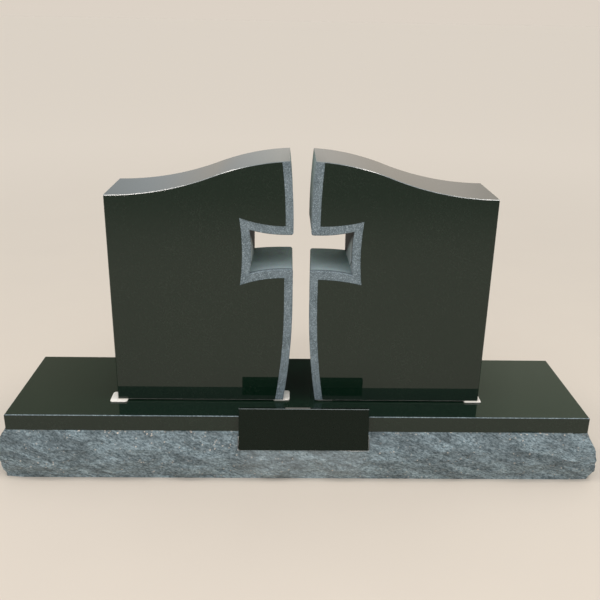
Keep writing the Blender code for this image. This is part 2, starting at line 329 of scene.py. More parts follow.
# %% Pitched granite
BASE_LOW, BASE_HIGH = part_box("base")
MARGIN_HEIGHT = 44 * MM
LEDGE_Z = BASE_HIGH.z - MARGIN_HEIGHT
STROKE, PATCH, FLECK = 3.6 * MM, 20 * MM, 3.3 * MM
STROKE_DRAWN, PATCH_DRAWN = (0.42, 0.42, 1.0), (0.24, 0.24, 1.0)
TEAR_SLOPE = math.radians(18)
SEAT_MIDDLE, SEAT_LIGHT_IN, SEAT_LIGHT_OUT = 11.5 * MM, 123 * MM, 193 * MM
FLOUR_TOP, GLINT_BAND = 0.75 * LEDGE_Z, 9 * MM


def make_pitched_granite():
    """Gabbro split with a pitching tool: torn and blue-grey, with painted shading on its strokes, painted
    glints under its margin and painted light at the seat.
    """
    finish, add, place = new_finish("rock-pitched gabbro")
    slanted = add("ShaderNodeMapping", {"Vector": place, "Rotation": (0.0, -TEAR_SLOPE, 0.0)})
    long_grain = add("ShaderNodeMapping", {"Vector": slanted, "Scale": STROKE_DRAWN})
    strokes = add(NOISE, {"Vector": long_grain, "Scale": 1 / STROKE, "Detail": 5.0, "Roughness": 0.75})
    longer_grain = add("ShaderNodeMapping", {"Vector": slanted, "Scale": PATCH_DRAWN})
    patches = add(NOISE, {"Vector": longer_grain, "Scale": 1 / PATCH, "Detail": 4.0, "Distortion": 0.8})
    # The strokes are paler where the bump stands high: partly the torn stone's own mottling, partly painted
    # shading of the relief.
    torn = add(RANGE, {"Value": strokes, "From Min": 0.38, "From Max": 0.66})
    ground = add(MIX, {0: torn, 6: "#3a484d", 7: "#86949a"}, IN_COLOUR)
    bruised = add(RANGE, {
        "Value": patches, "From Min": 0.36, "From Max": 0.66, "To Min": 0.72, "To Max": 1.45})
    parts = add(PARTS, {0: place}).outputs
    floured = add(RANGE, {
        "Value": parts["Z"], "From Min": FLOUR_TOP, "From Max": 0.0, "To Min": 1.0, "To Max": 1.35}, SOFTLY)
    paler = add(MATHS, {0: bruised, 1: floured}, TIMES)
    patched = add(VECTORS, {0: ground, "Scale": paler}, SCALED)
    # Painted light: the stone round the plate's seat is made paler, lifting the plate's shadow.
    aside = add(MATHS, {0: parts["X"], 1: SEAT_MIDDLE}, MINUS)
    from_seat = add(MATHS, {0: aside}, BARE)
    seat_light = add(RANGE, {
        "Value": from_seat, "From Min": SEAT_LIGHT_OUT, "From Max": SEAT_LIGHT_IN, "To Max": 0.11}, SOFTLY)
    seat_lit = add(MIX, {0: seat_light, 6: patched, 7: "#c8d0d2"}, IN_COLOUR)
    # Painted glints: pale crystal flecks, gathered under the margin where the ledge catches the light from
    # above.
    ledge_glints = add(RANGE, {
        "Value": parts["Z"], "From Min": LEDGE_Z - GLINT_BAND, "From Max": LEDGE_Z, "To Max": 0.1})
    crystals = add(CELLS, {"Vector": place, "Scale": 1 / FLECK})
    glint_share = add(MATHS, {0: crystals.outputs["Color"], 1: ledge_glints}, PLUS)
    painted_glints = add(RANGE, {"Value": glint_share, "From Min": 0.89, "From Max": 1.0, "To Max": 0.9})
    colour = add(MIX, {0: painted_glints, 6: seat_lit, 7: "#d9cbbd"}, IN_COLOUR)
    return end_finish(finish, colour, {
        "Value": strokes, "To Min": 0.7, "To Max": 0.95}, {
        "Height": strokes, "Strength": 0.65, "Distance": 1.5 * MM}, {"IOR": 1.50})


pitched_granite = make_pitched_granite()
print("the pitched face ends at z", round(LEDGE_Z, 4))

# %% [markdown]
# ## Setting foam
# The pads under the tablets are cut from a closed-cell foam sheet. It is off-white, matt, and pricked all
# over with cells about a millimetre and a half across.

# %% Closed-cell foam
FOAM_CELL, FOAM_DUST = 1.6 * MM, 12 * MM


def make_setting_foam():
    """Closed-cell foam: off-white, matt, finely pricked, a little dusty."""
    finish, add, place = new_finish("closed-cell setting foam")
    cells = add(CELLS, {"Vector": place, "Scale": 1 / FOAM_CELL})
    dust = add(NOISE, {"Vector": place, "Scale": 1 / FOAM_DUST, "Detail": 3.0})
    colour = add(MIX, {0: dust, 6: "#d8d2c8", 7: "#f6f3ee"}, IN_COLOUR)
    return end_finish(finish, colour, {
        "Value": dust, "To Min": 0.75, "To Max": 0.95}, {
        "Height": cells.outputs["Distance"], "Strength": 0.5, "Distance": 0.4 * MM})


setting_foam = make_setting_foam()
print("foam cells per 10 mm:", round(10 * MM / FOAM_CELL, 1))

# %% [markdown]
# ## The lines that the mason marks out
# Every edge of a tablet is a circular arc or a straight line, set out from the middle of the cross. Its
# top is a serpentine: a crest arc that runs into a hollow shoulder arc without a kink. The arms of the
# cross swell in arcs too. The solids' own rules are stepped more finely here, so that reflections run
# clean.

# %% The rules of the outline
HALF_PAIR = TABLET_HIGH.x
TABLET_FOOT = TABLET_LOW.z
THICKNESS = BACK_Y - FACE_Y
SHOULDER_HEIGHT, CREST_HEIGHT, CREST_SHARE = 556 * MM, 645 * MM, 0.45
LOWER_FLARE_HEIGHT = 276 * MM
ARM_CENTRE, ARM_REACH, ARM_END, ARM_END_BOW = 412.5 * MM, 131 * MM, 57 * MM, 4.2 * MM
FLARE_LEAD = 22 * MM
CROSSING_RADIUS = 6 * MM
SERPENTINE_STEPS, FLARE_STEPS, CORNER_STEPS = 72, 20, 6


def serpentine_height(x):
    """The top's height at a distance from the middle: a crest arc, then a hollow shoulder arc."""
    slope = 2 * math.atan((CREST_HEIGHT - SHOULDER_HEIGHT) / HALF_PAIR)
    both_radii = HALF_PAIR / math.sin(slope)
    crest_radius = CREST_SHARE * both_radii
    shoulder_radius = both_radii - crest_radius
    if x < CREST_SHARE * HALF_PAIR:
        return CREST_HEIGHT - crest_radius + math.sqrt(crest_radius ** 2 - x ** 2)
    return SHOULDER_HEIGHT + shoulder_radius - math.sqrt(shoulder_radius ** 2 - (HALF_PAIR - x) ** 2)


def flare(run, spread):
    """An arc that leaves a straight edge smoothly: pairs of way along it and way out of it."""
    radius = (run ** 2 + spread ** 2) / (2 * spread)
    turn = math.asin(run / radius)
    angles = [turn * step / FLARE_STEPS for step in range(FLARE_STEPS + 1)]
    return [(radius * math.sin(angle), radius * (1 - math.cos(angle))) for angle in angles]


def bowed_end(reach, half, bow):
    """The bowed end of an arm from its upper to its lower corner, without the corners."""
    radius = (half ** 2 + bow ** 2) / (2 * bow)
    heights = [half * (1 - 2 * step / FLARE_STEPS) for step in range(1, FLARE_STEPS)]
    return [(reach - bow + radius - math.sqrt(radius ** 2 - z ** 2), z) for z in heights]


crest_to_shoulder = 1000 * (serpentine_height(0) - serpentine_height(HALF_PAIR))
print("the top falls", round(crest_to_shoulder), "mm from the crest to the shoulder")

# %% [markdown]
# ## Two cuts that aren't quite twins
# Each tablet was cut on its own, by hand-set stencil and by eye, so the two halves of the cross differ
# by a few millimetres: the left arm sits a little higher, the right upright is a little wider above the
# arm, and the bands end differently. One small table of lengths for each cut keeps that. At the back
# the jet has strayed: the arm is smaller there, and the right upright leans away below the arm.

# %% The two cuts
LEFT_CUT = {
    "side": -1, "top": 31 * MM, "waist above": 21 * MM, "waist below": 21 * MM, "foot": 43 * MM,
    "rise": 2.8 * MM, "arm": 45 * MM, "reach": ARM_REACH, "end": ARM_END, "bow": ARM_END_BOW,
    "band above": 19.6 * MM, "band below": 21.8 * MM, "band arm": 67.5 * MM,
    "band reach": 155.5 * MM, "band corner": 87.6 * MM, "band bow": 6.3 * MM}
RIGHT_CUT = LEFT_CUT | {
    "side": 1, "waist above": 23.5 * MM, "waist below": 21.7 * MM, "rise": 1 * MM, "arm": 46 * MM,
    "band above": 21.9 * MM, "band below": 20.9 * MM, "band arm": 69.4 * MM,
    "band reach": 154 * MM, "band corner": 83 * MM, "band bow": 5.5 * MM}
AT_THE_BACK = {"reach": ARM_REACH - 5.5 * MM, "end": ARM_END - 7.5 * MM, "bow": ARM_END_BOW - 3.8 * MM}
LEFT_BACK = LEFT_CUT | AT_THE_BACK | {"rise": 3.6 * MM}
RIGHT_BACK = RIGHT_CUT | AT_THE_BACK | {
    "top": 32.3 * MM, "waist above": 23.7 * MM, "waist below": 28.7 * MM, "foot": 45 * MM}

widths = [round(1000 * 2 * cut["arm"]) for cut in (LEFT_CUT, RIGHT_CUT)]
print("the arm is", widths, "mm high beside the crossing, left and right")

# %% [markdown]
# ## The opening and the frosted band, point by point
# The outline of a tablet is one closed line: up its outer side, along the serpentine, down one half of
# the cross, and back along the foot. The band follows the same line a finger's width further out, and
# its points at the ends of the arm run out sharp.

# %% The outline of a tablet and of its band
def upright_edge(cut):
    """The upright's edge above the arm and below it, each from its upper to its lower end."""
    start = ARM_CENTRE + cut["rise"] + cut["arm"] + FLARE_LEAD
    rising = flare(serpentine_height(cut["top"]) - start, cut["top"] - cut["waist above"])
    falling = flare(LOWER_FLARE_HEIGHT, cut["foot"] - cut["waist below"])
    above = [(cut["waist above"] + out, start + along) for along, out in reversed(rising)]
    below = [(cut["waist below"] + out, LOWER_FLARE_HEIGHT - along) for along, out in falling]
    return above, below


def crossing_corner(waist, arm):
    """The rounded corner between the upright and the arm, from the upright's side to the arm's."""
    turns = [math.pi * (1 + step / CORNER_STEPS / 2) for step in range(CORNER_STEPS + 1)]
    middle_x, middle_z = waist + CROSSING_RADIUS, arm + CROSSING_RADIUS
    return [(middle_x + CROSSING_RADIUS * math.cos(turn), middle_z + CROSSING_RADIUS * math.sin(turn))
            for turn in turns]


def arm_edge(start, reach, arm, end):
    """One flaring edge of an arm, from the upright out to the arm's corner."""
    return [(start + along, arm + out) for along, out in flare(reach - start, end - arm)]


def arm_line(cut):
    """The arm's upper edge, its end and its lower edge, with both rounded crossing corners."""
    halves = []
    for waist in (cut["waist above"], cut["waist below"]):
        edge = arm_edge(waist + FLARE_LEAD, cut["reach"], cut["arm"], cut["end"])
        halves.append(crossing_corner(waist, cut["arm"]) + edge)
    lower = [(x, -z) for x, z in reversed(halves[1])]
    line = halves[0] + bowed_end(cut["reach"], cut["end"], cut["bow"]) + lower
    return [(x, ARM_CENTRE + cut["rise"] + z) for x, z in line]


def tablet_line(cut):
    """The closed outline of one tablet, and where its opening and its band begin and end on it."""
    run = HALF_PAIR - cut["top"] - cut["band above"]
    along = [HALF_PAIR - run * step / SERPENTINE_STEPS for step in range(SERPENTINE_STEPS + 1)]
    outer = [(HALF_PAIR, 0.0)] + [(x, serpentine_height(x)) for x in along]
    above, below = upright_edge(cut)
    opening = above + arm_line(cut) + below
    marks = {"band top": len(outer) - 1, "lip": len(outer), "sill": len(outer) + len(opening) - 1}
    marks["band foot"] = marks["sill"] + 1
    marks["arm end"] = len(outer) + len(above) + CORNER_STEPS + 1 + FLARE_STEPS
    return outer + opening + [(cut["foot"] + cut["band below"], 0.0)], marks


def band_line(cut):
    """The band's outer edge between its two ends, from the top down."""
    above, below = upright_edge(cut)
    outer_end = (cut["band reach"], cut["band arm"], cut["band corner"])
    upper, under = [
        arm_edge(cut["waist " + part] + cut["band " + part], *outer_end) for part in ("above", "below")]
    ending = bowed_end(cut["band reach"], cut["band corner"], cut["band bow"])
    arm = upper + ending + [(x, -z) for x, z in reversed(under)]
    beside = [(x + cut["band above"], z) for x, z in above[1:-1]]
    beneath = [(x + cut["band below"], z) for x, z in below[:-1]]
    return beside + [(x, ARM_CENTRE + cut["rise"] + z) for x, z in arm] + beneath


face_line, marks = tablet_line(LEFT_CUT)
print("corners in a tablet's outline:", len(face_line), "and in its band:", len(band_line(LEFT_CUT)))

# %% [markdown]
# ## A tablet
# The outline is repeated in rings from the face to the back: over the rubbed arris, in to a small step
# 9 mm deep where the stencil's blasting stopped, and through the stone to the arris at the back. Each
# ring is the face's outline moved part of the way towards the back's. The face is closed by two flat
# panels, the polished field and the band, which lies 0.4 mm lower. The edges between finishes are kept
# sharp, so that the flat panels mirror like glass. Underneath, the stone is only sawn.

# %% Rings through the stone
ARRIS = 1.6 * MM
BAND_SINK = 0.4 * MM
STEP_DEPTH, STEP_RUN, STEP_OUT = 9.0 * MM, 0.7 * MM, 0.7 * MM
RINGS = [(0.0, ARRIS), (ARRIS, 0.0), (STEP_DEPTH, 0.0), (STEP_DEPTH + STEP_RUN, 0.0),
         (THICKNESS - ARRIS, 0.0), (THICKNESS, ARRIS)]


def ways_into_stone(line):
    """At each corner of a closed line, the mitred way into the stone for one unit of inset."""
    ways = []
    for here, point in enumerate(line):
        before = (Vector(point) - Vector(line[here - 1])).normalized()
        after = (Vector(line[(here + 1) % len(line)]) - Vector(point)).normalized()
        inner, outer = Vector((-before.y, before.x)), Vector((-after.y, after.x))
        ways.append((inner + outer) / (1 + inner.dot(outer)))
    return ways


def cut_wander(depth):
    """How far the wall of the cut stands back behind its step, fading to nothing at the back."""
    if depth < STEP_DEPTH + STEP_RUN / 2:
        return 0.0
    return STEP_OUT * (THICKNESS - depth) / (THICKNESS - STEP_DEPTH)


def ring_points(front_cut, back_cut, depth, inset):
    """The outline at one depth, moved into the stone by the arris and by the step in the cut."""
    face, places = tablet_line(front_cut)
    back, _ = tablet_line(back_cut)
    share = depth / THICKNESS
    points = [Vector(f).lerp(Vector(b), share) for f, b in zip(face, back)]
    for here, way in enumerate(ways_into_stone(face)):
        points[here] += way * inset
        if places["lip"] < here < places["sill"]:
            points[here] += way * cut_wander(depth)
        elif here in (places["lip"], places["sill"]):
            points[here].x += cut_wander(depth)
    return points


print("rings through a tablet, in mm:", [round(1000 * depth, 1) for depth, _ in RINGS])

# %% The corners, walls and front of a tablet
POLISHED, FROSTED, CUT, RUBBED, CUT_END, SAWN = range(6)
NO_LENGTH = 0.001 * MM


def ring_corners(mesh, cuts, level):
    """The vertices of one ring. Where the band begins and ends there are two, the field's and the band's."""
    depth, inset = RINGS[level]
    corners = []
    for here, point in enumerate(ring_points(*cuts, depth, inset)):
        spots = [False] if here < marks["band top"] else [True]
        if here == marks["band top"]:
            spots = [False, True]
        if here == marks["band foot"]:
            spots = [True, False]
        made = {}
        for sunk in spots:
            sink = BAND_SINK if sunk and level < 2 else 0.0
            if sink not in made:
                place = (cuts[0]["side"] * point.x, FACE_Y + depth + sink, TABLET_FOOT + point.y)
                made[sink] = mesh.verts.new(place)
            corners.append((here, sunk, made[sink]))
    return corners


def finish_between(level, here, ahead, sunk):
    """Which finish a strip of wall has, by its ring and by its place on the outline."""
    inside = marks["lip"] <= here and ahead <= marks["sill"] and here < ahead
    if here >= marks["sill"]:
        return SAWN
    if level in (0, len(RINGS) - 2) and here > 0:
        return FROSTED if level == 0 and sunk and inside else RUBBED
    if level == 1 and inside:
        return FROSTED
    at_end = marks["arm end"] <= here < marks["arm end"] + FLARE_STEPS
    return (CUT_END if at_end else CUT) if inside else POLISHED


def add_face(mesh, corners, finish):
    """One face with a finish, unless its corners have run together."""
    distinct = list(dict.fromkeys(corners))
    if len(distinct) > 2:
        mesh.faces.new(distinct).material_index = finish


def close_front(mesh, ring, cut):
    """The polished field and the sunk band, with the band's edge standing between them."""
    field = [corner for _, sunk, corner in ring if not sunk]
    band = [corner for _, sunk, corner in ring if sunk]
    line = [(cut["side"] * x, TABLET_FOOT + z) for x, z in band_line(cut)]
    upper = [mesh.verts.new((x, FACE_Y, z)) for x, z in line]
    lower = [mesh.verts.new((x, FACE_Y + BAND_SINK, z)) for x, z in line]
    add_face(mesh, field[:-1] + upper + field[-1:], POLISHED)
    add_face(mesh, band + lower[::-1], FROSTED)
    high, low = [field[-2]] + upper + field[-1:], [band[0]] + lower + [band[-1]]
    for here in range(len(high) - 1):
        add_face(mesh, (high[here], high[here + 1], low[here + 1], low[here]), FROSTED)


print("finishes on a tablet:", SAWN + 1)

# %% Build the tablets
def keep_edges_sharp(mesh, turn=math.radians(25)):
    """Smooth within a finish, sharp where the finish or the direction changes."""
    for face in mesh.faces:
        face.smooth = True
    for edge in mesh.edges:
        finishes = {face.material_index for face in edge.link_faces}
        edge.smooth = len(finishes) == 1 and edge.calc_face_angle(math.pi) < turn


def stone_piece(name, mesh, finishes):
    """Turns a finished bmesh into a piece that rides on the part's only body."""
    bmesh.ops.recalc_face_normals(mesh, faces=mesh.faces)
    keep_edges_sharp(mesh)
    piece = new_object(name, plain_mesh(name, mesh, finishes))
    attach(piece, "root")
    return piece


def carve_tablet(name, front_cut, back_cut, node):
    """One tablet with its arrises, its strayed cut and its frosted band."""
    mesh = bmesh.new()
    rings = [ring_corners(mesh, (front_cut, back_cut), level) for level in range(len(RINGS))]
    for level, (near, far) in enumerate(zip(rings, rings[1:])):
        for spot, (here, sunk, corner) in enumerate(near):
            ahead, ahead_sunk, next_corner = near[(spot + 1) % len(near)]
            next_far = far[(spot + 1) % len(far)][2]
            finish = finish_between(level, here, ahead, sunk and ahead_sunk)
            add_face(mesh, (corner, next_corner, next_far, far[spot][2]), finish)
    close_front(mesh, rings[0], front_cut)
    add_face(mesh, [corner for _, _, corner in rings[-1]], POLISHED)
    bmesh.ops.dissolve_degenerate(mesh, dist=NO_LENGTH, edges=mesh.edges)
    piece = stone_piece(name, mesh, [
        polished_granite, frosted_granite, cut_granite, rubbed_arris, cut_end_granite, sawn_granite])
    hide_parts(node)
    print(name, "has", len(piece.data.polygons), "faces")


carve_tablet("left_tablet", LEFT_CUT, LEFT_BACK, "tablet_left")
carve_tablet("right_tablet", RIGHT_CUT, RIGHT_BACK, "tablet_right")

# %% [markdown]
# ## The base
# The base is one block. Its top and a narrow margin are polished, and its sides are broken stone. Each
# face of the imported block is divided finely, and the broken ones are worn back into scallops, as a
# pitching tool leaves them: shallow shells with crests between them, and small torn strokes on top of
# those. A surface that follows one rule is work for Geometry Nodes: the tree divides the block, and moves
# each point of the broken skin inwards by the depth of shell and stroke there, never outwards, so the
# block keeps its size.

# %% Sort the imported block's faces
MIRROR, TORN, SAWN_FACE, EASED = range(4)
SAME_SPOT, NEARLY_HALF_TURN = 0.01 * MM, 3.1


def merged_copy(node):
    """The node's loose triangles as one closed mesh, with flat pairs joined into quads."""
    mesh = bmesh.new()
    mesh.from_mesh(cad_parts[node].data)
    bmesh.ops.remove_doubles(mesh, verts=mesh.verts, dist=SAME_SPOT)
    bmesh.ops.join_triangles(
        mesh, faces=mesh.faces, angle_face_threshold=NEARLY_HALF_TURN, angle_shape_threshold=NEARLY_HALF_TURN)
    return mesh


def block_finish(face):
    """A mirror on top and on the margin, eased on the arris, sawn underneath, else torn."""
    middle, facing = face.calc_center_median(), face.normal
    if middle.z > BASE_HIGH.z - 0.5 * ARRIS - 0.5 * MM and facing.z < 0.9:
        return EASED
    if middle.z > LEDGE_Z + MM or facing.z > 0.99:
        return MIRROR
    return TORN if facing.z > -0.9 else SAWN_FACE


print("base box in mm:", [round(1000 * value) for value in (*BASE_LOW, *BASE_HIGH)])

# %% The plate's place, which the seat in the block follows
CLEARANCE = 0.3 * MM
PLATE_WIDTH, PLATE_HEIGHT, PLATE_THICKNESS = 337 * MM, 112 * MM, 14 * MM
PLATE_LEAN, PLATE_RISE = math.radians(11), 27 * MM
SEAT_PLAY, TOUCH = 3 * MM, 0.1 * MM
BASE_FRONT_Y, HALF_BASE = -178 * MM, 762 * MM
FOOT_STANDS_OUT, FOOT_TOP, END_HOLLOW, FRONT_HOLLOW = 14 * MM, 1 * MM, 7 * MM, 8 * MM

plate_turn = Matrix.Rotation(-PLATE_LEAN, 4, "X") @ Matrix.Rotation(math.pi, 4, "Z")
plate_at = Matrix.Translation((SEAT_MIDDLE, BASE_FRONT_Y, BASE_HIGH.z))
plate_place = plate_at @ plate_turn @ Matrix.Translation((0, CLEARANCE, 0))
plate_top = (PLATE_RISE - PLATE_THICKNESS * math.sin(PLATE_LEAN)) / math.cos(PLATE_LEAN)
plate_foot = plate_top - PLATE_HEIGHT


def on_seat(corner):
    """Whether a corner of the block lies on the seat that was dressed for the plate."""
    spot = plate_place.inverted() @ corner
    beside = abs(spot.x) - (PLATE_WIDTH / 2 + SEAT_PLAY)
    planes = (beside, spot.y + CLEARANCE, spot.z - (plate_foot - CLEARANCE))
    return beside < TOUCH and any(abs(plane) < TOUCH for plane in planes)


def straighten_foot(mesh):
    """Straightens the foot line of the broken faces, where the stone was split off its bed."""
    for corner in [corner for corner in mesh.verts if corner.co.z < FOOT_TOP]:
        inside_x = HALF_BASE - END_HOLLOW - abs(corner.co.x)
        inside_y = -BASE_FRONT_Y - FRONT_HOLLOW - abs(corner.co.y)
        if inside_y < 0 < inside_x:
            corner.co.y = math.copysign(-BASE_FRONT_Y + FOOT_STANDS_OUT, corner.co.y)
        if inside_x < 0 < inside_y:
            corner.co.x = math.copysign(HALF_BASE + FOOT_STANDS_OUT, corner.co.x)


def sorted_block():
    """The block with a finish on each face, and with the points of its broken skin marked free to wear."""
    mesh = merged_copy("base")
    straighten_foot(mesh)
    for face in mesh.faces:
        face.material_index = block_finish(face)
        if face.material_index == TORN and all(on_seat(corner.co) for corner in face.verts):
            face.material_index = SAWN_FACE
    free = mesh.verts.layers.float.new("free")
    for corner in mesh.verts:
        corner[free] = float(all(face.material_index == TORN for face in corner.link_faces))
    data = plain_mesh("pitched block", mesh, (
        polished_granite, pitched_granite, sawn_granite, frosted_granite))
    if "custom_normal" in data.attributes:
        data.attributes.remove(data.attributes["custom_normal"])
    return data


block = sorted_block()
kinds = [face.material_index for face in block.polygons]
print("faces that are mirror, torn, sawn, eased:", [kinds.count(kind) for kind in range(4)])

# %% The tree that wears the broken skin
def new_geometry_tree(name, kinds):
    """A Geometry Nodes tree with named inputs of these kinds, its own add, and the inputs."""
    tree = bpy.data.node_groups.new(name, "GeometryNodeTree")
    for socket, kind in kinds.items():
        tree.interface.new_socket(socket, in_out="INPUT", socket_type="NodeSocket" + kind)
    tree.interface.new_socket("Shape", in_out="OUTPUT", socket_type="NodeSocketGeometry")
    add = partial(add_node, tree)
    return tree, add, add("NodeGroupInput").outputs


def grow_pitching_tree():
    """Geometry Nodes: divide the block, then wear its free points inwards in shells and strokes."""
    tree, add, given = new_geometry_tree("pitched skin", {
        "Block": "Geometry", "Divisions": "Int", "Shell width": "Float", "Shell depth": "Float",
        "Stroke width": "Float", "Stroke depth": "Float", "Tear slope": "Float", "Seed": "Float",
        "Skin": "Material"})
    fine = add("GeometryNodeSubdivideMesh", {"Mesh": given["Block"], "Level": given["Divisions"]})
    place = add("GeometryNodeInputPosition")
    moved = add(VECTORS, {0: place, 1: given["Seed"]}, PLUS)
    turned = add("ShaderNodeVectorRotate", {
        "Vector": moved, "Angle": given["Tear slope"]}, {"rotation_type": "Y_AXIS"})
    drawn = add(VECTORS, {0: turned, 1: (0.5, 0.5, 1.0)}, TIMES)
    wide = add(MATHS, {0: 1.0, 1: given["Shell width"]}, OVER)
    tight = add(MATHS, {0: 1.0, 1: given["Stroke width"]}, OVER)
    shells = add(CELLS, {"Vector": drawn, "Scale": wide, "Smoothness": 0.25}, {"feature": "SMOOTH_F1"})
    strokes = add(NOISE, {"Vector": drawn, "Scale": tight, "Detail": 2.0, "Roughness": 0.6})
    hollow = add(RANGE, {"Value": shells.outputs["Distance"], "From Min": 0.75, "From Max": 0.05})
    shell_wear = add(MATHS, {0: hollow, 1: given["Shell depth"]}, TIMES)
    scratch = add(RANGE, {"Value": strokes, "From Min": 0.68, "From Max": 0.32})
    stroke_wear = add(MATHS, {0: scratch, 1: given["Stroke depth"]}, TIMES)
    wear = add(MATHS, {0: shell_wear, 1: stroke_wear}, PLUS)
    free = add("GeometryNodeInputNamedAttribute", {"Name": "free"}, {"data_type": "FLOAT"})
    held = add(RANGE, {"Value": free.outputs["Attribute"], "From Max": 0.4, "To Max": -1.0})
    inwards = add(MATHS, {0: wear, 1: held}, TIMES)
    normal = add("GeometryNodeInputNormal")
    step = add(VECTORS, {0: normal, "Scale": inwards}, SCALED)
    worn = add("GeometryNodeSetPosition", {"Geometry": fine, "Offset": step})
    real = add("GeometryNodeRealizeInstances", {0: worn})
    torn = add("FunctionNodeCompare", {
        2: add("GeometryNodeInputMaterialIndex"), 3: TORN}, {"data_type": "INT", "operation": "EQUAL"})
    dressed = add("GeometryNodeSetMaterial", {
        "Geometry": real, "Selection": torn, "Material": given["Skin"]})
    add("NodeGroupOutput", {0: dressed})
    return tree


def evaluated_piece(name, thing):
    """The plain mesh that a thing's Geometry Nodes make, as a new object. The first one is removed."""
    bpy.context.view_layer.update()
    data = bpy.data.meshes.new_from_object(thing.evaluated_get(bpy.context.evaluated_depsgraph_get()))
    data.name = name
    bpy.data.objects.remove(thing)
    return new_object(name, data)


def run_tree(name, data, tree, values):
    """Runs a tree on a mesh with its inputs set by name, and returns the plain piece."""
    thing = new_object(name + " source", data)
    growth = thing.modifiers.new(tree.name, "NODES")
    growth.node_group = tree
    for socket in tree.interface.items_tree:
        if socket.item_type == "SOCKET" and socket.in_out == "INPUT" and socket.name in values:
            growth[socket.identifier] = values[socket.name]
    return evaluated_piece(name, thing)


pitching_tree = grow_pitching_tree()
print("the pitching tree has", len(pitching_tree.nodes), "nodes")

# %% Wear the block
pitched_base = run_tree("pitched_base", block, pitching_tree, {
    "Divisions": 3, "Shell width": 21 * MM, "Shell depth": 3.2 * MM, "Stroke width": 6 * MM,
    "Stroke depth": 1.5 * MM, "Tear slope": TEAR_SLOPE, "Seed": 4.0, "Skin": pitched_granite})
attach(pitched_base, "root")
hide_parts("base")
print("the base has", len(pitched_base.data.polygons), "faces")

# %% [markdown]
# ## The plate
# A separate slip of polished granite leans on the base's front edge, with its foot in a seat that was
# dressed into the broken face. It is bare. Its back is only sawn, its edges are eased by nearly a
# millimetre, and the upper ones, rubbed by hand, show as a pale line.

# %% Build the plate
SLIP_MIRROR, SLIP_EASED, SLIP_SAWN = range(3)
PLATE_ARRIS, SQUARE = 0.9 * MM, 0.999


def slip_of_granite():
    """The leaning plate: a slab with rubbed edges, made flat in its own frame and then set in place."""
    mesh = bmesh.new()
    size = Vector((PLATE_WIDTH, PLATE_THICKNESS, PLATE_HEIGHT))
    middle = Matrix.Translation((0, PLATE_THICKNESS / 2, plate_foot + PLATE_HEIGHT / 2))
    bmesh.ops.create_cube(mesh, size=1.0, matrix=middle @ Matrix.Diagonal((*size, 1.0)))
    bmesh.ops.bevel(mesh, geom=mesh.edges[:], offset=PLATE_ARRIS, segments=1, affect="EDGES")
    mesh.normal_update()
    for face in mesh.faces:
        face.material_index = SLIP_EASED if 0.5 < face.normal.z < SQUARE else SLIP_MIRROR
        if face.normal.y < -SQUARE:
            face.material_index = SLIP_SAWN
    mesh.transform(plate_place)
    return mesh


plate = stone_piece("bare_plate", slip_of_granite(), [plate_granite, rubbed_arris, sawn_granite])
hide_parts("nameplate")
plate_rise = max(corner.co.z for corner in plate.data.vertices) - BASE_HIGH.z
print("the plate's top stands", round(1000 * plate_rise), "mm above the base")

# %% [markdown]
# ## The setting pads
# Eight slips of foam keep stone off stone while the tablets are lined up. The stone squeezes each to
# three millimetres, and where a corner sticks out it swells a little and its edges stay soft. They are
# cut with a knife, so their corners are blunt, and the right tablet's front ones are trimmed closer to
# the face. The same slip eight times is an instance on eight points, and whether a point of it lies
# under stone follows from where it is, so Geometry Nodes do all of it.

# %% The tree that lays the pads
PAD_NODES = sorted(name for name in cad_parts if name.startswith("pad_"))
PAD_AIR = 0.05 * MM


def grow_pad_tree():
    """Geometry Nodes: a soft-edged slip on each point, swollen where no tablet stands on it."""
    tree, add, given = new_geometry_tree("setting pads", {
        "Places": "Geometry", "Size": "Vector", "Swell": "Float", "Right trim": "Float",
        "Stone front": "Float", "Stone back": "Float", "Stone side": "Float", "Stone foot": "Float",
        "Foam": "Material"})
    slip = add("GeometryNodeMeshCube", {
        "Size": given["Size"], "Vertices X": 24, "Vertices Y": 28, "Vertices Z": 4})
    laid = add("GeometryNodeInstanceOnPoints", {
        "Points": given["Places"], "Instance": soften_slip(add, slip, given)})
    real = add("GeometryNodeRealizeInstances", {0: laid})
    swollen = add("GeometryNodeSetPosition", {"Geometry": real, "Offset": swell_of_slip(add, given)})
    smooth = add("GeometryNodeSetShadeSmooth", {0: swollen})
    foam = add("GeometryNodeSetMaterial", {"Geometry": smooth, "Material": given["Foam"]})
    add("NodeGroupOutput", {0: foam})
    return tree


def soften_slip(add, slip, given):
    """Thins the slip towards its edges, so that its rim is round, and blunts its corners."""
    place = add("GeometryNodeInputPosition")
    share = add(VECTORS, {0: place, 1: given["Size"]}, OVER)
    bare = add(VECTORS, {0: share}, BARE)
    parts = add(PARTS, {0: bare}).outputs
    rim = add(MATHS, {0: parts["X"], 1: parts["Y"]}, LARGER)
    thin = add(RANGE, {
        "Value": rim, "From Min": 0.45, "From Max": 0.5, "To Min": 1.0, "To Max": 0.45}, SOFTLY)
    both = add(MATHS, {0: parts["X"], 1: parts["Y"]}, PLUS)
    blunt = add(RANGE, {"Value": both, "From Min": 0.87, "From Max": 1.0, "To Min": 1.0, "To Max": 0.91})
    flat = add("ShaderNodeCombineXYZ", {"X": blunt, "Y": blunt, "Z": thin})
    soft = add(VECTORS, {0: place, 1: flat}, TIMES)
    return add("GeometryNodeSetPosition", {"Geometry": slip, "Position": soft})


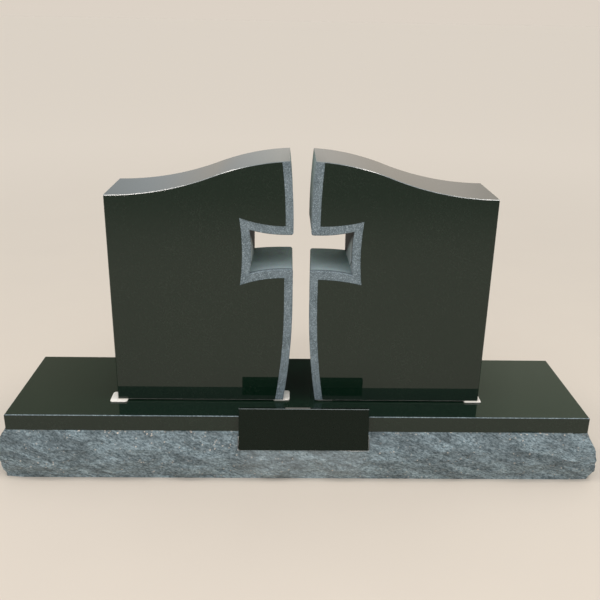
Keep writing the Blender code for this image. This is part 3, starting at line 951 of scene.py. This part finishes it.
def swell_of_slip(add, given):
    """How far each point rises outside the stone, and how far the right front pads are trimmed."""
    parts = add(PARTS, {0: add("GeometryNodeInputPosition")}).outputs
    across = add(MATHS, {0: parts["X"]}, BARE)
    gaps = [(across, given["Stone side"]), (given["Stone foot"], across),
            (given["Stone front"], parts["Y"]), (parts["Y"], given["Stone back"])]
    outside = None
    for farther, nearer in gaps:
        gap = add(MATHS, {0: farther, 1: nearer}, MINUS)
        both = {0: gap, 1: outside if outside else gap}
        outside = add(MATHS, both, LARGER)
    risen = add(RANGE, {
        "Value": outside, "From Min": 0.3 * MM, "From Max": 5 * MM, "To Max": given["Swell"]}, SOFTLY)
    above = add(RANGE, {"Value": parts["Z"], "From Min": BASE_HIGH.z, "From Max": TABLET_FOOT})
    rise = add(MATHS, {0: risen, 1: above}, TIMES)
    before = add(MATHS, {0: given["Stone front"], 1: parts["Y"]}, MINUS)
    overhang = add(MATHS, {0: before, 1: 0.0}, LARGER)
    on_right = add(RANGE, {"Value": parts["X"], "From Max": 1 * MM, "To Max": given["Right trim"]})
    trimmed = add(MATHS, {0: overhang, 1: on_right}, TIMES)
    return add("ShaderNodeCombineXYZ", {"Y": trimmed, "Z": rise})


pad_tree = grow_pad_tree()
print("the pad tree has", len(pad_tree.nodes), "nodes")

# %% Lay the pads
places = bpy.data.meshes.new("pad places")
corners = [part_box(name) for name in PAD_NODES]
seat_z = (BASE_HIGH.z + TABLET_FOOT) / 2
places.from_pydata([((low.x + high.x) / 2, (low.y + high.y) / 2, seat_z) for low, high in corners], [], [])
pad_size = corners[0][1] - corners[0][0]
pad_size.z = TABLET_FOOT - BASE_HIGH.z - 2 * PAD_AIR
pads = run_tree("setting_pads", places, pad_tree, {
    "Size": pad_size, "Swell": 0.9 * MM, "Right trim": 0.65, "Stone front": FACE_Y, "Stone back": BACK_Y,
    "Stone side": HALF_PAIR, "Stone foot": LEFT_CUT["foot"], "Foam": setting_foam})
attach(pads, "root")
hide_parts(*PAD_NODES)
print(len(PAD_NODES), "pads, each", [round(1000 * side, 1) for side in pad_size], "mm")

# %% [markdown]
# ## The studio
# The floor is pale, and the light is a soft dome with three dim strips overhead. Far in front the floor is
# painted greyer, which is painted shade. A polished face shows what stands before it, so the studio is part
# of the finish: the tablets' faces mirror the floor and that painted shade, their tops mirror a bright wall
# of light low behind them, and the base's top mirrors the dim gap above that wall, so it stays nearly black.
# In front the light comes from halfway up, so it reaches into the cut and leaves its upper corners dark,
# where painted shade is added too, and the strips give the arrises their thin lines.

# %% Floor
def make_studio_floor():
    """Painted studio floor: warm, pale, matt, faintly mottled, and greyer where it runs on in front, which is
    painted shade that the faces mirror.
    """
    finish, add, place = new_finish("painted studio floor")
    mottle = add(NOISE, {"Vector": place, "Scale": 3.0, "Detail": 4.0})
    near = add(MIX, {0: mottle, 6: "#d3c9be", 7: "#d7cdc1"}, IN_COLOUR)
    reach = add(VECTORS, {0: place}, {"operation": "LENGTH"})
    away = add(RANGE, {"Value": reach, "From Min": 1.0, "From Max": 6.0}, SOFTLY)
    even = add(MIX, {0: away, 6: near, 7: "#e6dbcf"}, IN_COLOUR)
    # Painted shade: far in front the floor turns greyer, so the polished faces mirror a darker floor.
    depth = add(PARTS, {0: place}).outputs["Y"]
    ahead = add(RANGE, {"Value": depth, "From Min": -1.7, "From Max": -3.6, "To Max": 0.85}, SOFTLY)
    colour = add(MIX, {0: ahead, 6: even, 7: "#a69f95"}, IN_COLOUR)
    feed(finish.node_tree, finish.node_tree.nodes["Principled BSDF"], {
        "Base Color": colour, "Roughness": 0.9, "Specular IOR Level": 0.0})
    return finish


FLOOR_HALF, FLOOR_TILES = 600.0, 40
floor_mesh = bmesh.new()
bmesh.ops.create_grid(floor_mesh, x_segments=FLOOR_TILES, y_segments=FLOOR_TILES, size=FLOOR_HALF)
floor = new_object("studio_floor", plain_mesh("studio_floor", floor_mesh, [make_studio_floor()]))
print("floor:", round(floor.dimensions.x), "m wide")

# %% Soft light
HORIZON = "#dcd2c6"
WALL_LIGHT = [(0.22, (0.68, 0.71, 0.73)), (0.45, (0.95, 0.92, 0.86)), (0.63, (0.92, 0.86, 0.79)),
              (0.85, (0.86, 0.78, 0.70))]
GAP_LIGHT = [(0.0, (0.36, 0.35, 0.27)), (0.45, (0.05, 0.05, 0.045)), (0.55, (0.05, 0.05, 0.045)),
             (1.0, (0.56, 0.58, 0.45))]
FRONT_LIGHT = [(0.04, HORIZON), (0.2, (0.55, 0.56, 0.56)), (0.42, (1.3, 1.32, 1.34)),
               (0.72, (1.3, 1.32, 1.34)), (0.95, (0.85, 0.87, 0.9))]
HIGH_LIGHT = (1.0, 1.02, 1.05, 1.0)

world = bpy.data.worlds.new("soft dome")
world.use_nodes = True
bpy.context.scene.world = world
sky = world.node_tree
add = partial(add_node, sky)
toward = add(PARTS, {0: add("ShaderNodeTexCoord").outputs["Generated"]}).outputs
across = add(RANGE, {"Value": toward["X"], "From Min": -0.3, "From Max": 0.3})
wall_light, gap_light, front_light = [
    fill_ramp(add("ShaderNodeValToRGB", {"Fac": way}), stops)
    for way, stops in ((across, WALL_LIGHT), (across, GAP_LIGHT), (toward["Z"], FRONT_LIGHT))]
dome = HORIZON
for axis, start, end, light in (
    ("Z", 0.04, 0.16, wall_light),
    ("Z", 0.27, 0.38, gap_light),
    ("Z", 0.55, 0.85, HIGH_LIGHT),
    ("Y", 0.0, -0.4, front_light),
):
    turning = add(RANGE, {"Value": toward[axis], "From Min": start, "From Max": end}, SOFTLY)
    dome = add(MIX, {0: turning, 6: dome, 7: light}, IN_COLOUR)
feed(sky, sky.nodes["Background"], {"Color": dome, "Strength": 1.0})
print("the dome is made of", len(sky.nodes), "nodes")

# %% Strips overhead
LAMP_AIM, LAMP_WARMTH = Vector((0.0, -0.1, 0.5)), (1.0, 0.93, 0.86)

for name, place, size, power in (
    ("strip for the left tablet", (-1.2, -0.62, 3.2), (0.95, 0.3), 16.0),
    ("strip for the right tablet", (1.15, -0.62, 3.2), (0.95, 0.3), 16.0),
    ("strip over the base", (0.0, -1.92, 3.2), (1.9, 0.45), 13.0),
):
    lamp = bpy.data.lights.new(name, "AREA")
    lamp.shape = "RECTANGLE"
    lamp.size, lamp.size_y = size
    lamp.energy = power
    lamp.color = LAMP_WARMTH
    lamp_object = new_object(name, lamp)
    lamp_object.location = place
    lamp_object.rotation_euler = (LAMP_AIM - Vector(place)).to_track_quat("-Z", "Y").to_euler()
    print(name, "gives", power, "W")

# %% [markdown]
# ## The camera
# Its place, turn and lens were worked out from twelve corners and five edges of the stone in the
# photograph. The view transform is the plain one, so that a hex colour comes out as it went in.

# %% Camera
camera_data = bpy.data.cameras.new("camera")
camera_data.sensor_width, camera_data.lens = 36.0, 44.93
camera = new_object("camera", camera_data)
camera.location = (-0.0449, -1.8933, 1.1438)
camera.rotation_euler = [math.radians(turn) for turn in (69.4726, -0.9827, -1.0007)]
bpy.context.scene.camera = camera
bpy.context.scene.view_settings.view_transform = "Standard"
print("camera", [round(value, 3) for value in camera.location])
